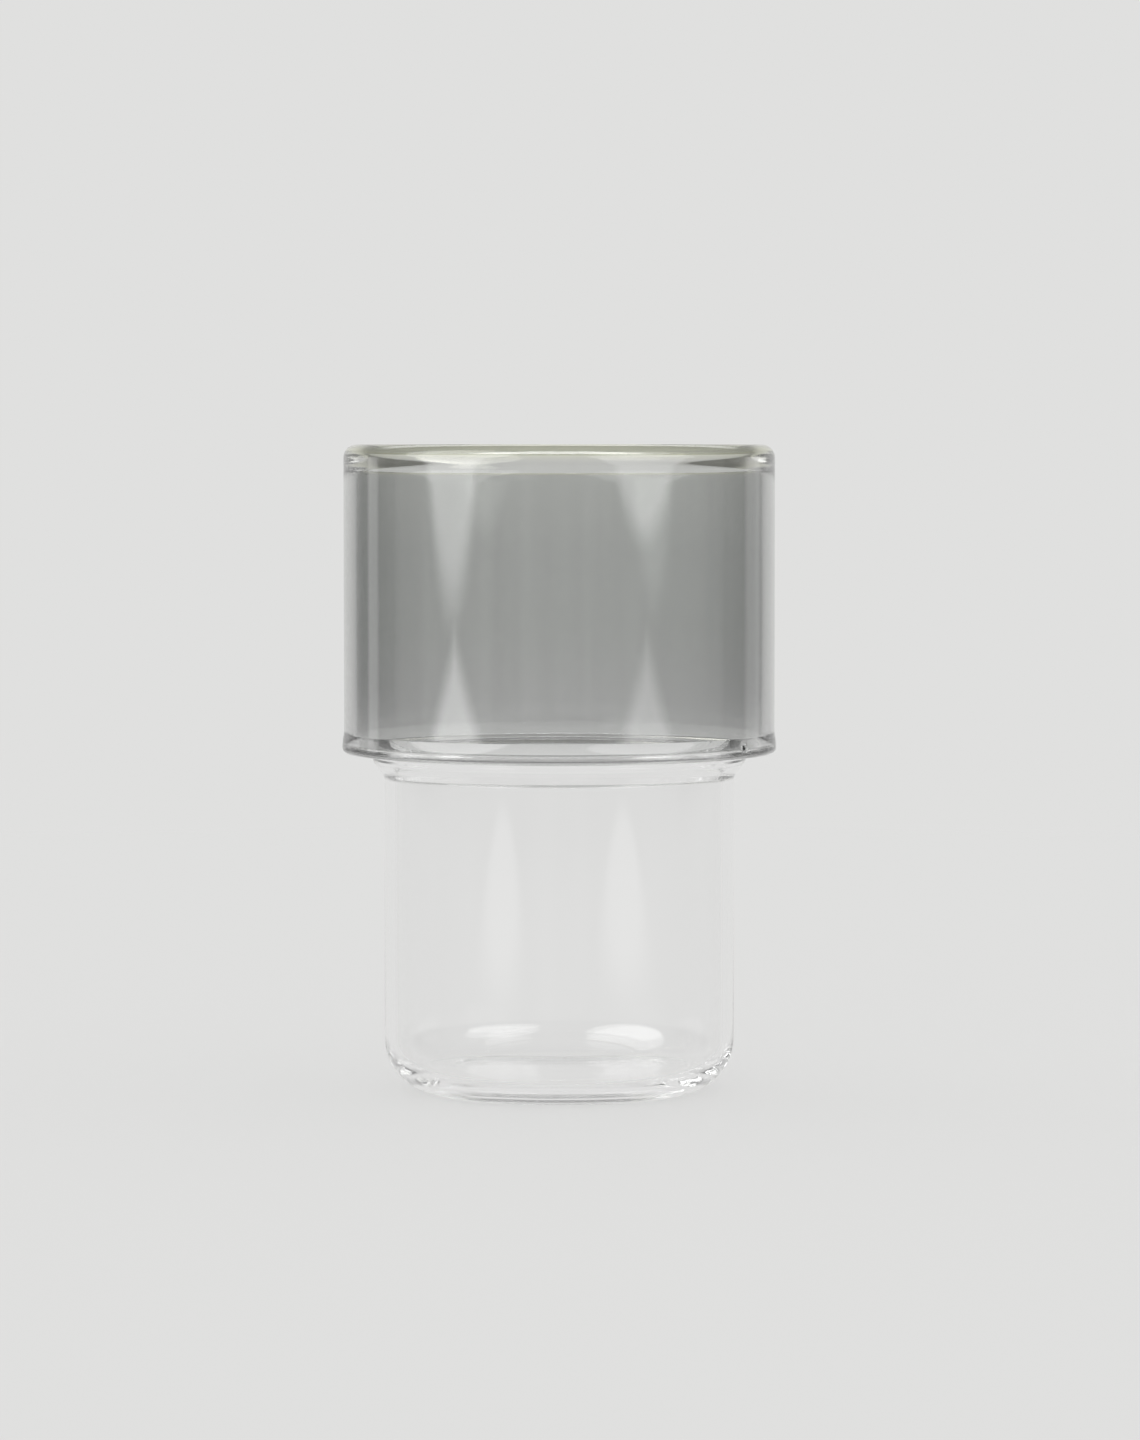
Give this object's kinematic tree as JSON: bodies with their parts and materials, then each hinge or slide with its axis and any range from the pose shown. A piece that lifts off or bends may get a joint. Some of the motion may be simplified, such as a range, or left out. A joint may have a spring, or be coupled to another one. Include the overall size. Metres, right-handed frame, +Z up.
{
  "type": "highball glass",
  "caption": "Tall drinking glass: a wide smoke-grey upper tube with a fire-polished rim, fused by a pale glass ring to the flange of a narrower clear cup with a round-cornered base.",
  "frame": {"origin": "centre of the foot, on the plane that the glass stands on", "axes": "+Z up along the axis of the glass towards the rim; -Y towards the viewer"},
  "size_m": [0.0806, 0.0806, 0.12],
  "materials": {
    "smoke_glass": "clear smoke-grey glass, fire polished",
    "seal_glass": "pale grey glass ring, fire polished",
    "clear_glass": "clear colourless glass, fire polished"
  },
  "bodies": {
    "root": {"smoke_band": "smoke_glass", "seal_ring": "seal_glass", "clear_cup": "clear_glass"}
  },
  "joints": []
}
